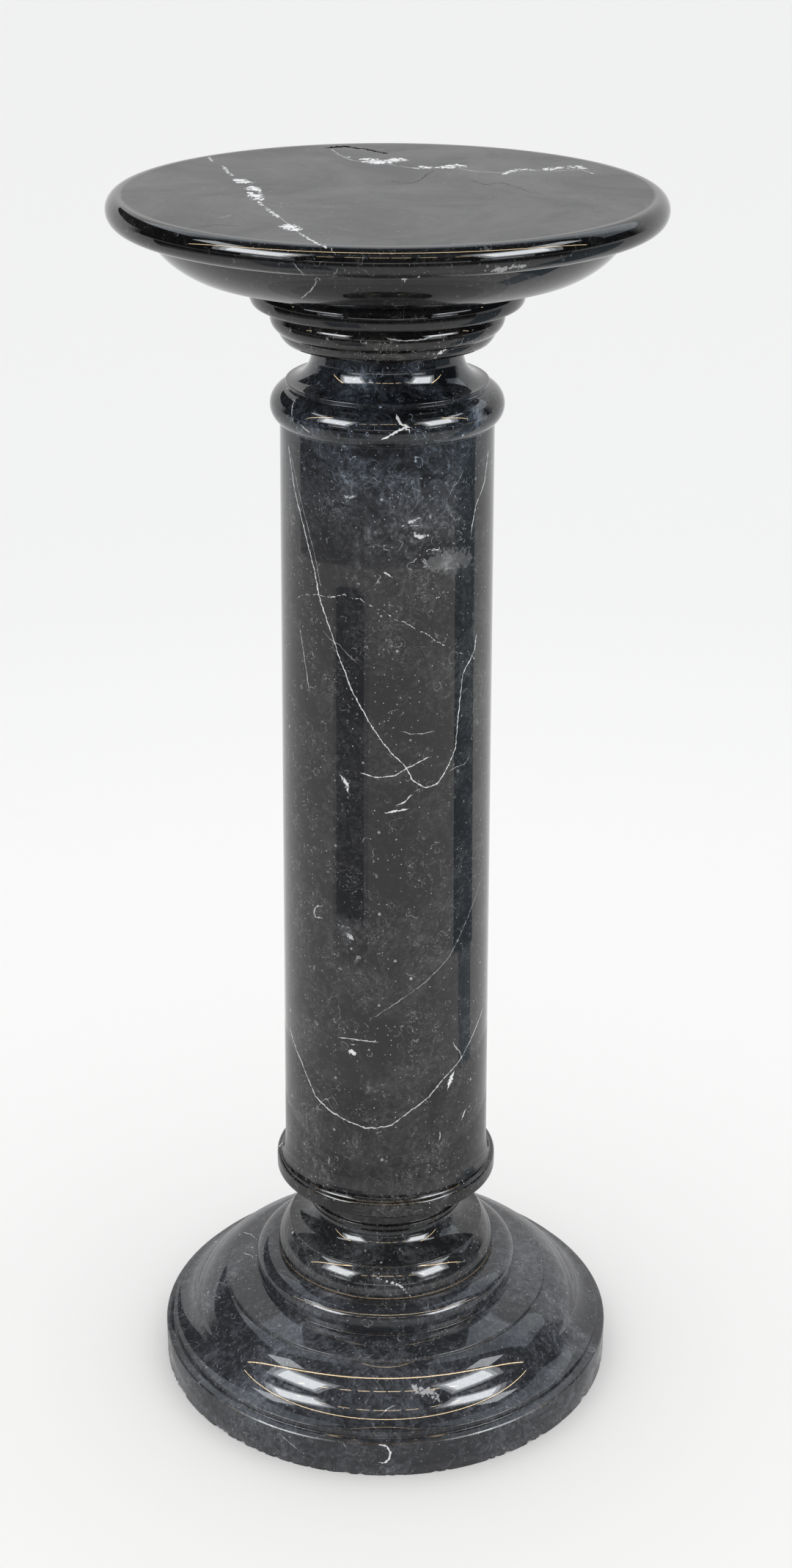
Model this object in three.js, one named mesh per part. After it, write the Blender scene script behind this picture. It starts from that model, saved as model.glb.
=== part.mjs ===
// A turned column of black veined marble: a pedestal with a round top, on a bell-shaped plinth.
// It is five blocks, one on another, each turned on the lathe about the column's axis.
// Units are millimetres, +Z is up, and the origin is the centre of the underside.

import * as THREE from 'three';

// Driving dimensions
const COLUMN_HEIGHT = 960;
const TOP_RADIUS = 207;
const SHAFT_RADIUS = 80.7;
const FOOT_RADIUS = 179;

// Heights of the blocks. The shaft takes up what the others leave of the column's height.
const PLINTH_HEIGHT = 91;
const BASE_TORUS_HEIGHT = 45;
const CAPITAL_HEIGHT = 28.3;
const TOP_PLATE_HEIGHT = 82.7;
const SHAFT_HEIGHT =
  COLUMN_HEIGHT - PLINTH_HEIGHT - BASE_TORUS_HEIGHT - CAPITAL_HEIGHT - TOP_PLATE_HEIGHT;

// Each block's top stops this far short of the bed of the next one.
const JOINT_GAP = 0.3;

// The circle where the torus of the base stands on the plinth's ring.
const CONTACT_RADIUS = 87.2;

const SIDES = 48;

// A profile is a list of [radius, height] points, from the axis at the block's bed up to the
// axis at its top. It starts at height 0, because each block is turned at its own origin.

// Points on a circular arc that climbs from one point to another. The bulge is how far its
// middle stands out from the straight line, and it is negative for a hollow.
function arc(from, to, bulge, steps) {
  const dr = to[0] - from[0];
  const dz = to[1] - from[1];
  const chord = Math.hypot(dr, dz);
  const side = Math.sign(bulge);
  const radius = (chord * chord / 4 + bulge * bulge) / (2 * Math.abs(bulge));
  const halfAngle = 2 * Math.atan2(2 * Math.abs(bulge), chord);
  const offset = radius - Math.abs(bulge);
  const outR = side * dz / chord;
  const outZ = -side * dr / chord;
  const centreR = (from[0] + to[0]) / 2 - outR * offset;
  const centreZ = (from[1] + to[1]) / 2 - outZ * offset;
  const points = [];
  for (let i = 0; i <= steps; i += 1) {
    const angle = halfAngle * (2 * i / steps - 1);
    const along = Math.sin(angle) * radius;
    const out = Math.cos(angle) * radius;
    points.push([centreR + along * dr / chord + out * outR, centreZ + along * dz / chord + out * outZ]);
  }
  return points;
}

// Points on a quarter ellipse. It leaves the first point level and reaches the second upright.
function levelToUpright(from, to, steps) {
  const points = [];
  for (let i = 0; i <= steps; i += 1) {
    const angle = i / steps * Math.PI / 2;
    points.push([
      from[0] + (to[0] - from[0]) * Math.sin(angle),
      to[1] + (from[1] - to[1]) * Math.cos(angle),
    ]);
  }
  return points;
}

// Points on a quarter ellipse. It leaves the first point upright and reaches the second level.
function uprightToLevel(from, to, steps) {
  return levelToUpright(to, from, steps).reverse();
}

// The rim stands upright on the floor. Above a narrow ledge the bell rises in an ogee to a
// nearly level shelf, and a rounded ring carries the block above.
function plinthProfile() {
  const rimHeight = 27.5;
  const bellFoot = [172.6, 33.1];
  const inflection = [153.2, 46.5];
  const shoulder = [130, 64];
  const shelfEdge = [128.5, 66];
  const ringFoot = [103.3, 70.5];
  const ringWidest = [104.3, 83];
  const top = PLINTH_HEIGHT - JOINT_GAP;
  return [
    [0, 0],
    [FOOT_RADIUS - 0.5, 0],
    [FOOT_RADIUS, rimHeight - 1],
    [FOOT_RADIUS - 0.8, rimHeight],
    [bellFoot[0] + 0.4, rimHeight + 1.2],
    ...arc(bellFoot, inflection, -3, 5),
    ...arc(inflection, shoulder, 2.9, 5).slice(1),
    shelfEdge,
    ...arc(ringFoot, ringWidest, 1, 2),
    ...uprightToLevel(ringWidest, [CONTACT_RADIUS, top], 4).slice(1),
    [0, top],
  ];
}

// A torus below and a scotia above, with a narrow lip between them.
function baseTorusProfile() {
  const torusTop = [77.2, 21.6];
  const lipRadius = 78.1;
  const lipBottom = 22.3;
  const lipTop = 23.6;
  const throat = [54.5, 39.5];
  const bedRadius = 58;
  const top = BASE_TORUS_HEIGHT - JOINT_GAP;
  return [
    [0, 0],
    ...arc([CONTACT_RADIUS - 0.4, 0], torusTop, 3.2, 5),
    [lipRadius, lipBottom],
    ...levelToUpright([lipRadius, lipTop], throat, 5),
    [bedRadius, top],
    [0, top],
  ];
}

// The shaft is one block with the band at its foot and the astragal and necking at its head.
function shaftProfile() {
  const filletRadius = 62.5;
  const filletHeight = 4.4;
  const neckRadius = 60.5;
  const bandBed = 26;
  const bandRadius = 87.4;
  const bandTop = 38.8;
  const shaftFoot = 57.8;
  const shaftHead = SHAFT_HEIGHT - 63;
  const astragalTop = [76.5, SHAFT_HEIGHT - 35.5];
  const lipRadius = 76.2;
  const lipTop = SHAFT_HEIGHT - 31.6;
  const neckingRadius = 56.9;
  const top = SHAFT_HEIGHT - JOINT_GAP;
  return [
    [0, 0],
    [filletRadius, 0],
    [filletRadius, filletHeight],
    [neckRadius, filletHeight + 0.8],
    [neckRadius, bandBed - 4],
    [neckRadius + 5.5, bandBed],
    [bandRadius - 3.4, bandBed],
    [bandRadius, bandBed + 2.6],
    [bandRadius, bandTop],
    ...levelToUpright([bandRadius - 1.2, bandTop + 0.6], [SHAFT_RADIUS, shaftFoot], 4),
    ...arc([SHAFT_RADIUS, shaftHead], astragalTop, 9.4, 7),
    [lipRadius - 0.8, astragalTop[1] + 1],
    [lipRadius, lipTop - 2.2],
    ...levelToUpright([lipRadius, lipTop], [neckingRadius, top - 10], 5),
    [neckingRadius, top],
    [0, top],
  ];
}

// The capital is a round torus over a narrow fillet.
function capitalProfile() {
  const filletBed = 77.5;
  const filletTop = [81.8, 7.8];
  const torusBed = [82.6, 8.1];
  const top = CAPITAL_HEIGHT - JOINT_GAP;
  return [
    [0, 0],
    ...arc([filletBed, 0], filletTop, 0.6, 2),
    ...arc(torusBed, [75.8, top], 8.3, 6),
    [0, top],
  ];
}

// The top plate is a round slab with a bullnose edge, on a broad band. Under the band a small
// torus lies below a fillet.
function topPlateProfile() {
  const torusBed = [99.8, 0];
  const torusWidest = [102.9, 7.6];
  const torusTop = [98, 17];
  const bandBed = [151.9, 29.2];
  const slabHeight = 21.4;
  const slabBed = TOP_PLATE_HEIGHT - slabHeight;
  const bandTop = [181, slabBed];
  const noseDepth = 9.5;
  const flatRadius = TOP_RADIUS - noseDepth;
  const noseMiddle = [TOP_RADIUS, slabBed + slabHeight / 2];
  return [
    [0, 0],
    ...levelToUpright(torusBed, torusWidest, 3),
    ...uprightToLevel(torusWidest, torusTop, 3).slice(1),
    [torusTop[0], bandBed[1]],
    ...arc(bandBed, bandTop, 3.9, 4),
    ...levelToUpright([flatRadius, slabBed], noseMiddle, 4),
    ...uprightToLevel(noseMiddle, [flatRadius, TOP_PLATE_HEIGHT], 4).slice(1),
    [0, TOP_PLATE_HEIGHT],
  ];
}

// Polished marble, nearly black. Each block was cut from its own piece of stone.
function marble(colour, roughness) {
  return new THREE.MeshStandardMaterial({ color: colour, roughness, metalness: 0 });
}

// Turns a profile about the axis and stands the block with its bed at the given height.
function turnedBlock(name, profile, bedHeight, material) {
  const points = profile.map(([radius, height]) => new THREE.Vector2(radius, height));
  const geometry = new THREE.LatheGeometry(points, SIDES);
  geometry.rotateX(Math.PI / 2);
  const block = new THREE.Mesh(geometry, material);
  block.name = name;
  block.position.z = bedHeight;
  return block;
}

// The blocks in the order in which they stand, from the floor up.
const column = new THREE.Group();
const blocks = [
  ['plinth', plinthProfile(), PLINTH_HEIGHT, marble('#2e2d2f', 0.22)],
  ['base_torus', baseTorusProfile(), BASE_TORUS_HEIGHT, marble('#2b2a2d', 0.18)],
  ['shaft', shaftProfile(), SHAFT_HEIGHT, marble('#2a292b', 0.18)],
  ['capital', capitalProfile(), CAPITAL_HEIGHT, marble('#302c29', 0.22)],
  ['top_plate', topPlateProfile(), TOP_PLATE_HEIGHT, marble('#2f2d2c', 0.25)],
];

let bedHeight = 0;
for (const [name, profile, height, material] of blocks) {
  column.add(turnedBlock(name, profile, bedHeight, material));
  bedHeight += height;
}

export default column;
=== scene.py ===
"""Looks for a turned column of black veined marble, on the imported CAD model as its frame.

Each of the five blocks is a finely turned mesh that stands for its CAD solid. The stone is
procedural. Its veins run along paths on the surface, and each vertex keeps its distance from the
nearest vein, so that the shader can draw a vein that is thinner than the mesh's faces.
"""

import math
import random

import bpy
import numpy as np
from mathutils import Euler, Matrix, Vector
from mathutils.bvhtree import BVHTree


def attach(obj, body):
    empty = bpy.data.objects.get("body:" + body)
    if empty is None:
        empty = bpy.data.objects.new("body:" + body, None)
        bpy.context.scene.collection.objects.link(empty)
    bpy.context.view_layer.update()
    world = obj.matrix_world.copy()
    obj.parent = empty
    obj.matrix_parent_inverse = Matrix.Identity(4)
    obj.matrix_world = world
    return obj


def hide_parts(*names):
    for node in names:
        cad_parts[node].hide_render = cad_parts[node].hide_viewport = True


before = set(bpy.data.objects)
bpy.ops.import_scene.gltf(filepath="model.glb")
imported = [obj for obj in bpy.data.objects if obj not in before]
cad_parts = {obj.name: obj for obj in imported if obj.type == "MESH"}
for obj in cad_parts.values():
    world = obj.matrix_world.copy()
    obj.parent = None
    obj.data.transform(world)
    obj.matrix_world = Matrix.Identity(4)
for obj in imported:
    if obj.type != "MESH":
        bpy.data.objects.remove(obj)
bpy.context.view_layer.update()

MM = 0.001

# Driving dimensions in millimetres, the same as those of the CAD model
COLUMN_HEIGHT = 960
TOP_RADIUS = 207
SHAFT_RADIUS = 80.7
FOOT_RADIUS = 179
PLINTH_HEIGHT = 91
BASE_TORUS_HEIGHT = 45
CAPITAL_HEIGHT = 28.3
TOP_PLATE_HEIGHT = 82.7
SHAFT_HEIGHT = COLUMN_HEIGHT - PLINTH_HEIGHT - BASE_TORUS_HEIGHT - CAPITAL_HEIGHT - TOP_PLATE_HEIGHT
JOINT_GAP = 0.3
CONTACT_RADIUS = 87.2

# Mesh settings: the sides of the turned blocks and the longest step along a profile
SIDES = 256
PLINTH_SIDES = 512
LONGEST_STEP = 3.2

# Softened corners: their radius, the largest share of a profile's stretch that one takes up, how
# many steps it has, and the least turn that counts as sharp
ARRIS_RADIUS = 0.7
ARRIS_SHARE = 0.45
ARRIS_STEPS = 5
SHARP_TURN = math.radians(24)

# Heights of the rings in the plinth's lower edge. The chips end at the last of them.
CHIP_RINGS = (0.6, 1.2, 1.9, 2.7, 3.6)

# Camera. Pixels are those of the photograph, which is 1080 wide and 2139 high.
PHOTO_WIDTH = 1080
PHOTO_HEIGHT = 2139
FOCAL_PIXELS = 3690.1
SHIFT_Y = -0.26
SENSOR = 36
CAMERA_PITCH = 0.2600
CAMERA_YAW = -0.00255
CAMERA_ROLL = -0.0028
CAMERA_TURN = (math.pi / 2 - CAMERA_PITCH, CAMERA_ROLL, CAMERA_YAW)
CAMERA_DISTANCE = 1.9534
CAMERA_HEIGHT = 1.3381
CAMERA_PLACE = (0, -CAMERA_DISTANCE, CAMERA_HEIGHT)


# Profiles

def arc(start, end, bulge, steps):
    """Points of a circular arc that climbs from start to end. A hollow has a negative bulge."""
    dr = end[0] - start[0]
    dz = end[1] - start[1]
    chord = math.hypot(dr, dz)
    side = math.copysign(1, bulge)
    depth = abs(bulge)
    radius = (chord * chord / 4 + depth * depth) / (2 * depth)
    half_angle = 2 * math.atan2(2 * depth, chord)
    out = (side * dz / chord, -side * dr / chord)
    along = (dr / chord, dz / chord)
    centre = [(start[k] + end[k]) / 2 - out[k] * (radius - depth) for k in (0, 1)]
    points = []
    for i in range(steps + 1):
        angle = half_angle * (2 * i / steps - 1)
        points.append(tuple(
            centre[k] + radius * (math.sin(angle) * along[k] + math.cos(angle) * out[k])
            for k in (0, 1)
        ))
    return points


def level_to_upright(start, end, steps):
    """Points of a quarter ellipse that leaves start level and reaches end upright."""
    points = []
    for i in range(steps + 1):
        angle = i / steps * math.pi / 2
        points.append((
            start[0] + (end[0] - start[0]) * math.sin(angle),
            end[1] + (start[1] - end[1]) * math.cos(angle),
        ))
    return points


def upright_to_level(start, end, steps):
    """Points of a quarter ellipse that leaves start upright and reaches end level."""
    return level_to_upright(end, start, steps)[::-1]


def plinth_profile():
    """An upright rim, a bell that rises in an ogee to a shelf, and a rounded ring."""
    rim_bed = FOOT_RADIUS - 0.5
    rim_steepness = 60
    rim_height = 27.5
    bell_foot = (172.6, 33.1)
    inflection = (153.2, 46.5)
    shoulder = (130, 64)
    shelf_edge = (128.5, 66)
    ring_foot = (103.3, 70.5)
    ring_widest = (104.3, 83)
    top = PLINTH_HEIGHT - JOINT_GAP
    return [
        (rim_bed, 0),
        *[(rim_bed + height / rim_steepness, height) for height in CHIP_RINGS],
        (FOOT_RADIUS, rim_height - 1),
        (FOOT_RADIUS - 0.8, rim_height),
        (bell_foot[0] + 0.4, rim_height + 1.2),
        *arc(bell_foot, inflection, bulge=-3, steps=14),
        *arc(inflection, shoulder, bulge=2.9, steps=14)[1:],
        (shelf_edge[0] + 0.5, shoulder[1] - 0.3),
        shelf_edge,
        *arc(ring_foot, ring_widest, bulge=1, steps=6),
        *upright_to_level(ring_widest, (CONTACT_RADIUS, top), steps=14)[1:],
    ]


def base_torus_profile():
    """A torus below and a scotia above, with a narrow lip between them."""
    torus_bed = (CONTACT_RADIUS - 0.4, 0)
    torus_top = (77.2, 21.6)
    lip_radius = 78.1
    lip_bottom = 22.3
    lip_top = 23.6
    throat = (54.5, 39.5)
    bed_radius = 58
    return [
        *arc(torus_bed, torus_top, bulge=3.2, steps=16),
        (lip_radius, lip_bottom),
        *level_to_upright((lip_radius, lip_top), throat, steps=20),
        (bed_radius, BASE_TORUS_HEIGHT - JOINT_GAP),
    ]


def shaft_profile():
    """The shaft with the band at its foot and the astragal and necking at its head."""
    fillet_radius = 62.5
    fillet_height = 4.4
    neck_radius = 60.5
    band_bed = 26
    band_radius = 87.4
    band_top = 38.8
    band_side = (band_radius, band_top - 2)
    band_edge = (band_radius - 2.4, band_top + 0.6)
    apophyge_foot = (band_radius - 2.6, band_top + 0.6)
    shaft_foot = 57.8
    shaft_head = SHAFT_HEIGHT - 63
    astragal_top = (76.5, SHAFT_HEIGHT - 35.5)
    lip_radius = 76.2
    lip_top = SHAFT_HEIGHT - 31.6
    necking_radius = 56.9
    top = SHAFT_HEIGHT - JOINT_GAP
    return [
        (fillet_radius, 0),
        (fillet_radius, fillet_height),
        (neck_radius, fillet_height + 0.8),
        (neck_radius, band_bed - 4),
        (neck_radius + 5.5, band_bed),
        (band_radius - 3.4, band_bed),
        (band_radius, band_bed + 2.6),
        *upright_to_level(band_side, band_edge, steps=8),
        *level_to_upright(apophyge_foot, (SHAFT_RADIUS, shaft_foot), steps=14),
        *arc((SHAFT_RADIUS, shaft_head), astragal_top, bulge=9.4, steps=24),
        (lip_radius - 0.8, astragal_top[1] + 1),
        (lip_radius, lip_top - 2.2),
        *level_to_upright((lip_radius, lip_top), (necking_radius, top - 10), steps=20),
        (necking_radius, top),
    ]


def capital_profile():
    """A round torus over a narrow fillet."""
    fillet_bed = (77.5, 0)
    fillet_top = (81.8, 7.8)
    torus_bed = (82.6, 8.1)
    torus_top = (75.8, CAPITAL_HEIGHT - JOINT_GAP)
    return [
        *arc(fillet_bed, fillet_top, bulge=0.6, steps=5),
        *arc(torus_bed, torus_top, bulge=8.3, steps=24),
    ]


def top_plate_profile():
    """A slab with a bullnose edge on a broad band, with a small torus under the band."""
    torus_bed = (99.8, 0)
    torus_widest = (102.9, 7.6)
    torus_top = (98, 17)
    band_bed = (151.9, 29.2)
    slab_height = 21.4
    slab_bed = TOP_PLATE_HEIGHT - slab_height
    band_top = (181, slab_bed)
    nose_depth = 9.5
    flat_radius = TOP_RADIUS - nose_depth
    nose_middle = (TOP_RADIUS, slab_bed + slab_height / 2)
    inner_radius = 30
    return [
        *level_to_upright(torus_bed, torus_widest, steps=12),
        *upright_to_level(torus_widest, torus_top, steps=12)[1:],
        (torus_top[0], band_bed[1]),
        *arc(band_bed, band_top, bulge=3.9, steps=16),
        *level_to_upright((flat_radius, slab_bed), nose_middle, steps=14),
        *upright_to_level(nose_middle, (flat_radius, TOP_PLATE_HEIGHT), steps=14)[1:],
        (inner_radius, TOP_PLATE_HEIGHT),
    ]


def softened(profile):
    """The profile with each sharp corner ground to a small round, as polished arrises are."""
    points = [profile[0]]
    for before, corner, after in zip(profile, profile[1:], profile[2:]):
        back = Vector(before) - Vector(corner)
        ahead = Vector(after) - Vector(corner)
        turn = math.pi - back.angle(ahead)
        if turn < SHARP_TURN:
            points.append(corner)
            continue
        cut = min(
            ARRIS_RADIUS * math.tan(turn / 2),
            ARRIS_SHARE * back.length,
            ARRIS_SHARE * ahead.length,
        )
        start = Vector(corner) + back.normalized() * cut
        end = Vector(corner) + ahead.normalized() * cut
        for i in range(ARRIS_STEPS + 1):
            t = i / ARRIS_STEPS
            point = start * (1 - t) ** 2 + Vector(corner) * 2 * t * (1 - t) + end * t * t
            points.append(tuple(point))
    points.append(profile[-1])
    return points


def divided(profile):
    """The profile with its long stretches divided, to keep the vein distances nearly exact."""
    points = [profile[0]]
    for start, end in zip(profile, profile[1:]):
        count = max(1, math.ceil(math.dist(start, end) / LONGEST_STEP))
        for i in range(1, count + 1):
            t = i / count
            points.append(tuple(start[k] + (end[k] - start[k]) * t for k in (0, 1)))
    return points


def turned_mesh(name, profile, bed, sides=SIDES):
    """A closed mesh turned about the column's axis, with its bed at the given height."""
    rings = divided(softened(profile))
    vertices = []
    for radius, height in rings:
        for i in range(sides):
            angle = 2 * math.pi * i / sides
            vertices.append((
                radius * math.cos(angle) * MM,
                radius * math.sin(angle) * MM,
                (bed + height) * MM,
            ))
    faces = []
    for j in range(len(rings) - 1):
        for i in range(sides):
            a = j * sides + i
            b = j * sides + (i + 1) % sides
            faces.append((a, b, b + sides, a + sides))
    faces.append(tuple(range(sides - 1, -1, -1)))
    last = (len(rings) - 1) * sides
    faces.append(tuple(range(last, last + sides)))
    mesh = bpy.data.meshes.new(name)
    mesh.from_pydata(vertices, [], faces)
    mesh.validate()
    return mesh


# Camera

def make_camera():
    camera = bpy.data.cameras.new("camera")
    camera.sensor_width = SENSOR
    camera.lens = FOCAL_PIXELS / PHOTO_HEIGHT * SENSOR
    camera.shift_y = SHIFT_Y
    camera.clip_end = 100
    thing = bpy.data.objects.new("camera", camera)
    thing.location = CAMERA_PLACE
    thing.rotation_euler = CAMERA_TURN
    bpy.context.scene.collection.objects.link(thing)
    bpy.context.scene.camera = thing


def pixel_ray(x, y):
    """The camera's place and the direction of its line of sight through a pixel."""
    centre_y = PHOTO_HEIGHT / 2 + SHIFT_Y * PHOTO_HEIGHT
    local = Vector((x - PHOTO_WIDTH / 2, centre_y - y, -FOCAL_PIXELS))
    return Vector(CAMERA_PLACE), (Euler(CAMERA_TURN).to_matrix() @ local).normalized()


# Veins and clouds

# Each vein: its kind, half its width in millimetres, how white it is, and its path in pixels of
# the photograph. Veins of one layer don't cross, because a vertex keeps only the nearest of them.
# The kinds are two apart, because a vertex keeps a vein's kind and whiteness as one sum.
SOLID = 0
BEADED = 2
SHARDS = 4

SHAFT_VEINS = [
    # The two great loops, and short veins
    [
        (SOLID, 0.45, 1.0, [
            (393, 606), (401, 664), (414, 718), (429, 779), (435, 814), (449, 855), (465, 903),
            (481, 944), (507, 991), (532, 1026), (551, 1043), (564, 1066), (580, 1075),
            (596, 1069), (609, 1050), (621, 1021), (625, 976), (631, 919), (647, 887),
            (650, 865),
        ]),
        (SOLID, 0.5, 0.85, [
            (395, 1401), (413, 1453), (430, 1495), (451, 1516), (476, 1530), (500, 1539),
            (532, 1536), (556, 1518), (584, 1497), (605, 1471), (627, 1446), (648, 1404),
            (658, 1376),
        ]),
        (SOLID, 0.5, 0.8, [(666, 613), (661, 657), (649, 689), (642, 728)]),
        (SOLID, 1.0, 1.0, [(540, 565), (545, 578), (555, 582), (542, 588), (530, 595), (520, 600)]),
        (SOLID, 0.5, 0.8, [(402, 545), (398, 560), (401, 580)]),
        (SOLID, 0.6, 0.9, [(379, 1568), (384, 1560), (389, 1553)]),
        (SOLID, 0.55, 0.9, [(561, 1084), (552, 1094), (540, 1099)]),
    ],
    # The beaded vein across the upper loop, thinner veins and flakes
    [
        (BEADED, 0.5, 0.75, [
            (405, 816), (413, 811), (424, 812), (433, 811), (449, 815), (463, 813), (470, 811),
            (478, 817), (490, 816), (498, 822), (510, 829), (526, 836), (540, 846), (551, 848),
            (567, 859), (583, 865), (596, 876), (609, 881), (622, 890), (641, 893), (650, 901),
        ]),
        (SOLID, 0.4, 0.55, [(409, 858), (416, 903), (422, 944)]),
        (SOLID, 0.5, 0.8, [(491, 1054), (513, 1061), (539, 1058), (558, 1046), (586, 1032)]),
        (SOLID, 0.32, 0.45, [
            (511, 1387), (542, 1367), (584, 1336), (612, 1306), (634, 1260), (655, 1201),
        ]),
        (SOLID, 0.35, 0.25, [(440, 860), (450, 872), (463, 880), (474, 893), (487, 905)]),
        (SOLID, 1.9, 1.0, [(619, 1462), (615, 1473), (611, 1484)]),
        (SOLID, 1.1, 1.0, [(634, 1514), (632, 1520), (630, 1526)]),
        (SOLID, 1.2, 0.9, [(600, 1545), (600, 1551), (599, 1556)]),
        (SHARDS, 3.0, 0.9, [(474, 1428), (481, 1436), (490, 1440)]),
        (SHARDS, 2.0, 0.9, [(465, 1058), (472, 1069), (474, 1080)]),
        (SOLID, 0.45, 0.7, [(461, 1415), (480, 1417), (500, 1420), (516, 1422)]),
        (SOLID, 0.9, 0.9, [(525, 1109), (540, 1106), (556, 1104)]),
        (SOLID, 0.6, 0.5, [(440, 1236), (432, 1236), (427, 1243), (431, 1251), (440, 1252)]),
        (SOLID, 0.6, 0.7, [(409, 578), (416, 585), (423, 590)]),
        (SHARDS, 2.5, 0.6, [(462, 1262), (470, 1272), (482, 1282)]),
        (SHARDS, 2.5, 0.8, [(585, 806), (596, 812), (604, 812)]),
        (SOLID, 1.2, 0.8, [(524, 781), (529, 783), (534, 787)]),
        (SOLID, 0.5, 0.6, [(618, 1422), (622, 1430), (628, 1436), (630, 1446)]),
    ],
    # Fainter threads and flakes, and two broad faint bands
    [
        (SOLID, 0.3, 0.4, [(397, 620), (406, 664), (419, 716), (431, 765), (437, 800)]),
        (SOLID, 0.3, 0.45, [(612, 1052), (622, 1046), (634, 1042), (641, 1030)]),
        (SOLID, 0.3, 0.4, [(452, 1510), (446, 1498), (438, 1503), (432, 1512), (440, 1515)]),
        (SOLID, 0.35, 0.4, [(632, 640), (626, 655), (618, 664), (612, 680)]),
        (SHARDS, 1.6, 0.8, [(560, 727), (575, 733), (588, 730)]),
        (SOLID, 8.0, 0.09, [(580, 771), (600, 765), (620, 760), (643, 762)]),
        (SOLID, 6.0, 0.09, [(652, 552), (656, 564), (657, 578)]),
        (SHARDS, 1.3, 0.7, [(548, 718), (560, 712), (572, 706)]),
        (SHARDS, 2.0, 0.5, [(470, 676), (476, 680), (484, 676)]),
        (SOLID, 0.35, 0.5, [(547, 997), (558, 1001), (575, 1001), (592, 997)]),
    ],
]
TOP_VEINS = [
    # Flakes of white calcite along two veins, and short veins
    [
        (SHARDS, 1.6, 0.6, [(284, 214), (292, 222)]),
        (SHARDS, 1.6, 0.6, [(304, 226), (312, 236), (318, 240)]),
        (SHARDS, 6.0, 1.0, [(322, 244), (332, 248), (344, 249)]),
        (SHARDS, 5.5, 1.0, [(343, 254), (347, 264), (350, 274)]),
        (SHARDS, 1.8, 0.8, [(350, 274), (360, 281), (372, 291), (384, 300)]),
        (SHARDS, 6.0, 1.0, [(388, 306), (397, 310), (404, 315)]),
        (SHARDS, 1.4, 0.8, [(408, 318), (420, 325), (436, 334), (455, 345)]),
        (SOLID, 0.5, 0.45, [(433, 382), (425, 395), (411, 407)]),
        (SHARDS, 4.0, 0.9, [(468, 214), (484, 217), (500, 217)]),
        (SHARDS, 8.0, 1.0, [(500, 216), (506, 220), (516, 222), (532, 219), (553, 216)]),
        (SHARDS, 7.0, 1.0, [(566, 227), (578, 229), (588, 228)]),
        (SHARDS, 6.0, 1.0, [(596, 229), (610, 228), (621, 226), (634, 228)]),
        (SHARDS, 3.0, 0.9, [(684, 238), (700, 232), (716, 231), (728, 232)]),
        (SHARDS, 4.5, 0.9, [(742, 232), (758, 229), (774, 228), (786, 226), (800, 231)]),
        (SHARDS, 5.0, 0.9, [(806, 233), (816, 236), (826, 238)]),
        (SOLID, 0.4, 0.4, [(262, 382), (268, 392), (272, 398)]),
        (SHARDS, 2.0, 0.5, [(536, 383), (552, 381), (572, 377)]),
    ],
    # The thin lines that the flakes follow, and faint veins
    [
        (SOLID, 0.8, 0.4, [
            (451, 203), (462, 211), (478, 218), (500, 222), (530, 224), (560, 229), (590, 229),
            (621, 229), (650, 234), (692, 236), (714, 232), (758, 233), (791, 231), (813, 238),
        ]),
        (SOLID, 0.5, 0.4, [(352, 274), (366, 286), (378, 293), (400, 312), (424, 328), (457, 347)]),
        (SHARDS, 2.4, 0.35, [(660, 369), (690, 367), (718, 362)]),
        (SOLID, 0.5, 0.35, [(402, 360), (412, 372), (430, 378), (455, 374), (476, 380)]),
        (SOLID, 1.0, 0.3, [(293, 297), (305, 296), (316, 293)]),
    ],
]
TOP_CRACKS = [
    (SOLID, 4.5, 1.0, [(446, 202), (462, 200), (478, 200)]),
    (SOLID, 2.2, 0.9, [(470, 201), (497, 203), (515, 207), (530, 210)]),
    (SOLID, 0.55, 0.5, [(530, 246), (545, 249), (560, 250), (572, 246), (582, 238), (592, 233)]),
    (SOLID, 0.55, 0.4, [(640, 245), (662, 252), (684, 249), (702, 254), (722, 262)]),
    (SOLID, 0.5, 0.3, [(360, 275), (385, 279), (404, 277)]),
    (SOLID, 0.5, 0.3, [(255, 312), (300, 306), (330, 309)]),
    (SOLID, 0.5, 0.3, [(596, 226), (612, 221), (628, 224), (640, 220)]),
]
BASE_TORUS_VEINS = [
    [
        (BEADED, 1.1, 0.9, [
            (505, 1733), (512, 1741), (520, 1746), (535, 1750), (548, 1756), (560, 1768),
            (562, 1778),
        ]),
    ],
]
CAPITAL_VEINS = [
    [
        (SOLID, 0.5, 0.7, [(462, 437), (467, 452)]),
        (SHARDS, 2.5, 0.8, [(597, 483), (604, 478), (612, 470)]),
        (SOLID, 0.5, 0.5, [(526, 461), (545, 465), (570, 464), (590, 460)]),
    ],
]
PLINTH_VEINS = [
    [
        (SOLID, 0.5, 0.75, [(331, 1681), (344, 1684), (355, 1688)]),
        (SOLID, 0.5, 0.75, [(331, 1709), (341, 1712), (351, 1716)]),
        (SOLID, 0.9, 0.95, [
            (517, 1971), (528, 1973), (533, 1982), (530, 1992), (523, 1996), (517, 1995),
        ]),
        (SOLID, 0.4, 0.4, [(380, 1955), (410, 1980), (450, 2010)]),
        (SOLID, 0.5, 0.5, [(468, 1969), (472, 1974)]),
        (SHARDS, 3.0, 0.45, [(560, 1888), (570, 1896), (590, 1900), (600, 1912)]),
        (SOLID, 0.5, 0.45, [(520, 1930), (528, 1922), (540, 1916)]),
        (SOLID, 0.5, 0.4, [(352, 1935), (362, 1942), (378, 1948)]),
    ],
]

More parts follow.
